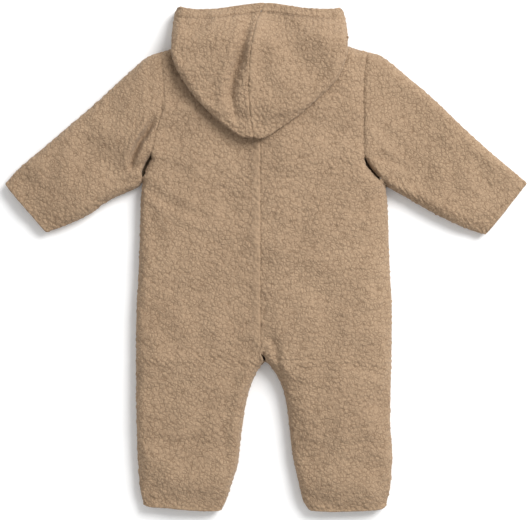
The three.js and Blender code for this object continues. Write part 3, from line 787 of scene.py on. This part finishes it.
# ---- Plans of the pieces, coarse for the simulation and fine for the meshes ----
FINE = {"body": (100, 360), "sleeve": (62, 132), "hood": (82, 112)}
COARSE = {"body": (26, 92), "sleeve": (14, 30), "hood": (18, 26)}


def plans(sizes):
    out = {}
    for s in SIDES:
        out["back", s] = body_patch(s, *sizes["body"], NECK, 258.5)
        out["sleeve", s] = sleeve_patch(s, *sizes["sleeve"])
        out["hood", s] = hood_patch(s, *sizes["hood"])
    return out


def top_height(kind, xy):
    if kind == "hood":
        return hood_height(xy)
    return back_height(xy, SLEEVE_CREASES if kind == "sleeve" else CREASES)


coarse = {key: lifted(xy, top_height(key[0], xy)) for key, xy in plans(COARSE).items()}
keys = list(coarse)
moved = dict(zip(keys, settle([coarse[k] for k in keys], cap=3.4)))
fine = {}
for key, xy in plans(FINE).items():
    p = lifted(xy, top_height(key[0], xy))
    fine[key] = p + upsample(moved[key], *p.shape[:2])


def groove(p, line, depth, width, up=1.0):
    d = near(p[..., :2], line)[0]
    q = p.copy()
    q[..., 2] -= up * depth * np.exp(-((d / width) ** 2))
    return q


for s, side in SIDES.items():
    # Back with its leg. Beside the centre seam the left half is pressed flat in a narrow band.
    p = groove(fine["back", s], LINES["armhole", s], 1.6, 2.2)
    beside = near(p[..., :2], LINES["centre"])[0]
    y = p[..., 1]
    open_run = smoothstep(y, -112, -104) * (1 - smoothstep(y, 138, 144))
    if s == -1:
        band = smoothstep(beside, 0.2, 1.4) * (1 - smoothstep(beside, 5.5, 13)) * open_run
        p[..., 2] += 0.5 * band
    else:
        band = 0.3 * (1 - smoothstep(beside, 0.5, 5)) * open_run
    p[..., 2] -= 0.9 * np.exp(-((beside / 1.2) ** 2)) * smoothstep(y, -112, -106)
    flat_hem = 0.35 * (1 - smoothstep(near(p[..., :2], LINES["hem", s])[0], 0, 6))
    wear_and_highlight = np.clip(band * 0.5 + flat_hem, 0, 1)
    back = cloth_piece(f"back_{side}_cloth", shell(p, 1, nap=0.42, seed=11 + s, wear_and_highlight=wear_and_highlight), flat=FLAT["back"],
                       rests_on=(f"front_{side}_cloth",))
    dress(back, mat_fleece, bend=("torso", f"{side}_leg", *LEG_BEND[s]),
          stands_for=(f"back_{side}_panel", f"{side}_leg_back"))

    # Front with its leg, cut apart for the zip
    xy = body_patch(s, 46, 170, FRONT_NECK, 222.6, "front_centre", open_gaps=False)
    clear = smoothstep(xy[..., 1], -112, -101) * ZIP_CLEARANCE
    xy[..., 0] += s * clear * np.exp(-((xy[..., 0] / 16) ** 2))
    front = cloth_piece(f"front_{side}_cloth", shell(lifted(xy, front_height(xy)), -1, nap=0.12, seed=31 + s),
                        flat=FLAT["front"], rests_on=("floor",))
    dress(front, mat_fleece, bend=("torso", f"{side}_leg", *LEG_BEND[s]),
          stands_for=(f"front_{side}_panel", f"{side}_leg_front"))

    # Sleeve, one cut folded along its upper edge and closed along the lower
    p = groove(fine["sleeve", s], LINES["armhole", s], 1.6, 2.2)
    xy = sleeve_patch(s, 40, 60, open_gaps=False)
    sleeve = cloth_piece(f"{side}_sleeve_cloth", shell(p, 1, nap=0.42, seed=51 + s),
                         shell(lifted(xy, front_height(xy)), -1, nap=0.12, seed=61 + s),
                         flat=FLAT["sleeve"], rests_on=("floor",))
    dress(sleeve, mat_fleece, bend=("torso", f"{side}_arm", *ARM_BEND[s]),
          stands_for=(f"{side}_sleeve",))

    # Turned-in hems of the leg and of the sleeve
    for end, inner, outer, depth, high, body, node, flat in (
        ("leg", LINES["inseam", s][::-1], LINES["side", s][::-1], 68, 20.0, f"{side}_leg", f"{side}_leg_facing",
         FLAT["leg_facing"]),
        ("sleeve", LINES["under", s][::-1], LINES["over", s][::-1], 66, 15.2, f"{side}_arm",
         f"{side}_sleeve_facing", FLAT["sleeve_facing"]),
    ):
        halves = []
        for up, face_z in ((1, high), (-1, 4.4)):
            xy, left, right = facing_patch(s, 34, 26, inner, outer, depth)
            d = edge_distance(xy, [left, right])
            z = SEAM_Z + (face_z - SEAM_Z) * round_off(d, 8)
            if up == 1:
                over = back_height(xy, SLEEVE_CREASES if end == "sleeve" else CREASES)
                z = np.maximum(np.minimum(z, over - CLOTH - 1.6), 8.5)
            halves.append(shell(lifted(xy, z), up, thickness=FACING, nap=0.1, seed=90 + s))
        facing = cloth_piece(f"{side}_{end}_hem_facing", *halves, flat=flat,
                             rests_on=(f"front_{side}_cloth" if end == "leg" else f"{side}_sleeve_cloth",))
        dress(facing, mat_lining, body=body, stands_for=(node,))

    # Hood: the upper layer, with a hem along the face edge, and the lower layer on the back
    p = groove(fine["hood", s], LINES["hood_seam"], 1.3, 1.3)
    edge = near(p[..., :2], LINES["face", s])[0]
    beside = near(p[..., :2], LINES["hood_seam"])[0]
    p[..., 2] += 0.9 * (1 - smoothstep(edge, 9.5, 11)) - 1.7 * np.exp(-(((edge - HOOD_HEM) / 1.1) ** 2))
    # Painted highlight: a lighter strip beside the hood's seam on the right side only, given through the wear
    # value, which makes the dark lines between the tufts fade so that the strip reads lighter.
    seam_highlight_paint = 0.4 * np.exp(-((beside / 7) ** 2)) if s == 1 else 0 * beside
    hood = cloth_piece(f"hood_{side}_upper", shell(p, 1, nap=0.4, seed=71 + s, wear_and_highlight=seam_highlight_paint),
                       flat=FLAT["hood_upper"], rests_on=(f"hood_{side}_under",))
    xy = hood_under_patch(s, 40, 60)
    under = cloth_piece(f"hood_{side}_under", shell(lifted(xy, hood_under_height(xy)), -1, nap=0.12, seed=81 + s),
                        flat=FLAT["hood_under"], rests_on=(f"back_{side}_cloth",))
    for obj in (hood, under):
        dress(obj, mat_fleece if obj is hood else mat_lining, bend=("torso", "hood", *HOOD_BEND))
    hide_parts(f"hood_{side}_crown", f"hood_{side}_slack")
    xy = lapel_patch(s, 44, 30)
    lapel = cloth_piece(f"hood_{side}_lapel", shell(lifted(xy, lapel_height(xy)), -1, nap=0.12, seed=85 + s),
                        flat=FLAT["lapel"], rests_on=("floor",))
    dress(lapel, mat_fleece, body="torso", stands_for=(f"hood_{side}_brim",))


# ---- Small sewn-in pieces, each where its CAD solid is ----
def strip(name, node, material, nap=0.05, columns=10, rows=60, thickness=0.6, sewn=0, drop=0):
    """A flat strip, hung lower than its CAD solid by the drop. Sewn is the side, left or right, whose edge
    turns down to the front that it is sewn to."""
    low, high = (np.array(c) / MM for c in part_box(node))
    x, y = np.linspace(low[0], high[0], columns), np.linspace(low[1], high[1], rows)
    xy = np.stack(np.meshgrid(x, y), axis=-1)
    z = np.full(xy.shape[:2], high[2] - drop)
    if sewn:
        side = high[0] if sewn > 0 else low[0]
        z -= (high[2] - low[2] - thickness) * (1 - smoothstep(np.abs(xy[..., 0] - side), 0.5, 5))
    size = sorted(high[:2] - low[:2])
    obj = cloth_piece(name, shell(lifted(xy, z), 1, thickness=thickness, nap=nap, bulge=0.3),
                      flat=(max(size[0], NARROWEST), max(size[1], NARROWEST)))
    return dress(obj, material, body="torso", stands_for=(node,))


for side in SIDES.values():
    strip(f"zip_tape_{side}_woven", f"zip_tape_{side}", mat_tape, rows=240)
strip("zip_guard_woven", "zip_guard", mat_tape, columns=30, rows=160, thickness=1.5, sewn=-1)
strip("chin_guard_cloth", "chin_guard", mat_lining, nap=0.1, columns=30, rows=20, thickness=1.5, sewn=1)
strip("neck_tape_woven", "neck_tape", mat_tape, columns=80, rows=8, thickness=0.8, drop=2.4)
strip("care_label_satin", "care_label", mat_label, columns=20, rows=30, drop=3.8)

low, high = (np.array(c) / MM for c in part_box("hanger_loop"))
across = np.linspace(-1, 1, 48)
sag = high[2] - 0.2 - (high[2] - low[2] - 1.3) * (1 - across**2) ** 0.7
loop = np.stack(np.meshgrid((low[0] + high[0]) / 2 + across * (high[0] - low[0]) / 2,
                            np.linspace(low[1], high[1], 8)), axis=-1)
loop = cloth_piece("hanger_loop_woven", shell(lifted(loop, np.tile(sag, (8, 1))), 1, thickness=0.9, nap=0.03,
                                              bulge=0.2), flat=FLAT["hanger_loop"])
dress(loop, mat_tape, body="torso", stands_for=("hanger_loop",))

for name in ("zip_teeth_left", "zip_teeth_right", "zip_top_stop_left", "zip_top_stop_right", "zip_bottom_stop",
             "zip_slider", "zip_pull"):
    node = bpy.data.objects[name]
    node.data.materials.clear()
    node.data.materials.append(mat_metal)


# ---- Stitches: one is modelled and copied along the hood's hems and along the back's centre band ----
def stitch_row(name, line, height, pitch, body=None, bend=None, length=2.3, radius=0.28):
    bpy.ops.object.select_all(action="DESELECT")
    bpy.ops.mesh.primitive_cylinder_add(vertices=6, radius=radius * MM, depth=length * MM, location=(0, 0, 0),
                                        rotation=(0, math.radians(90), 0))
    one = bpy.context.object
    bpy.ops.object.transform_apply(location=True, rotation=True, scale=True)
    bpy.ops.object.mode_set(mode="EDIT")
    bpy.ops.mesh.select_all(action="SELECT")
    bpy.ops.mesh.bevel(offset=radius * 0.45 * MM, segments=1)
    bpy.ops.object.mode_set(mode="OBJECT")
    shape = np.array([v.co for v in one.data.vertices]) / MM
    faces = [tuple(f.vertices) for f in one.data.polygons]
    bpy.data.objects.remove(one)
    total = np.linalg.norm(np.diff(line, axis=0), axis=1).sum()
    count = int(total / pitch)
    at = line_at(line, (np.arange(count) + 0.5) / count, None)
    ahead = line_at(line, (np.arange(count) + 0.6) / count, None) - at
    turn = np.arctan2(ahead[:, 1], ahead[:, 0])
    points, polygons = [], []
    for i in range(count):
        c, w = math.cos(turn[i]), math.sin(turn[i])
        x = at[i, 0] + shape[:, 0] * c - shape[:, 1] * w
        y = at[i, 1] + shape[:, 0] * w + shape[:, 1] * c
        points.append(np.stack([x, y, height(at[i]) + shape[:, 2] - 0.12 * shape[:, 0] ** 2], axis=1))
        polygons += [tuple(k + i * len(shape) for k in face) for face in faces]
    points = np.concatenate(points)
    mesh = bpy.data.meshes.new(name)
    mesh.from_pydata((points * MM).tolist(), [], polygons)
    attribute = mesh.attributes.new("rest", "FLOAT_VECTOR", "POINT")
    attribute.data.foreach_set("vector", (points * MM).astype(np.float32).ravel())
    mesh.shade_smooth()
    obj = bpy.data.objects.new(name, mesh)
    bpy.context.scene.collection.objects.link(obj)
    return dress(obj, mat_thread, body=body, bend=bend)


def height_on(grid):
    """The height of the nearest point of a grid, with the cloth's nap left out."""
    flat = grid.reshape(-1, 3)
    return lambda at: flat[np.argmin((flat[:, 0] - at[0]) ** 2 + (flat[:, 1] - at[1]) ** 2), 2]


def beside(line, distance):
    """A line moved sideways, to its left where the distance is positive."""
    along = np.gradient(line, axis=0)
    along /= np.linalg.norm(along, axis=1, keepdims=True)
    return line + distance * np.stack([-along[:, 1], along[:, 0]], axis=1)


for s, side in SIDES.items():
    hem = beside(LINES["face", s], -HOOD_HEM * s)[1:-2]
    on_hood = height_on(fine["hood", s])
    stitch_row(f"hood_hem_stitches_{side}", hem, on_hood, STITCH_PITCH, body="torso")
band_run = LINES["centre"][(LINES["centre"][:, 1] > -106) & (LINES["centre"][:, 1] < 150)]
on_back = height_on(fine["back", -1])
stitch_row("back_band_stitches", beside(band_run, 9.4), on_back, STITCH_PITCH, body="torso")

# ---- Floor and light ----
bpy.ops.mesh.primitive_plane_add(size=8, location=(0, 0, -0.0005))
floor = bpy.context.object
floor.name = "floor"
floor_material, tree, shader = nodes_of("floor")
shader.inputs["Base Color"].default_value = (0.96, 0.96, 0.96, 1)
shader.inputs["Roughness"].default_value = 1.0
shader.inputs["Specular IOR Level"].default_value = 0.0
floor.data.materials.append(floor_material)

world = bpy.data.worlds.new("world")
bpy.context.scene.world = world
world.use_nodes = True
world.node_tree.nodes["Background"].inputs["Color"].default_value = (1, 1, 1, 1)
world.node_tree.nodes["Background"].inputs["Strength"].default_value = 0.65
lamp_data = bpy.data.lights.new("softbox", "AREA")
lamp_data.shape = "DISK"
lamp_data.size = 1.7
lamp_data.spread = math.radians(62)
lamp_data.energy = 12.5
lamp = bpy.data.objects.new("softbox", lamp_data)
lamp.location = (1.45, 1.35, 1.85)
aim = lamp.location - Vector((0.03, 0.03, 0))
lamp.rotation_euler = aim.to_track_quat("Z", "Y").to_euler()
bpy.context.scene.collection.objects.link(lamp)
bpy.context.scene.view_settings.view_transform = "Standard"
bpy.context.scene.view_settings.look = "None"
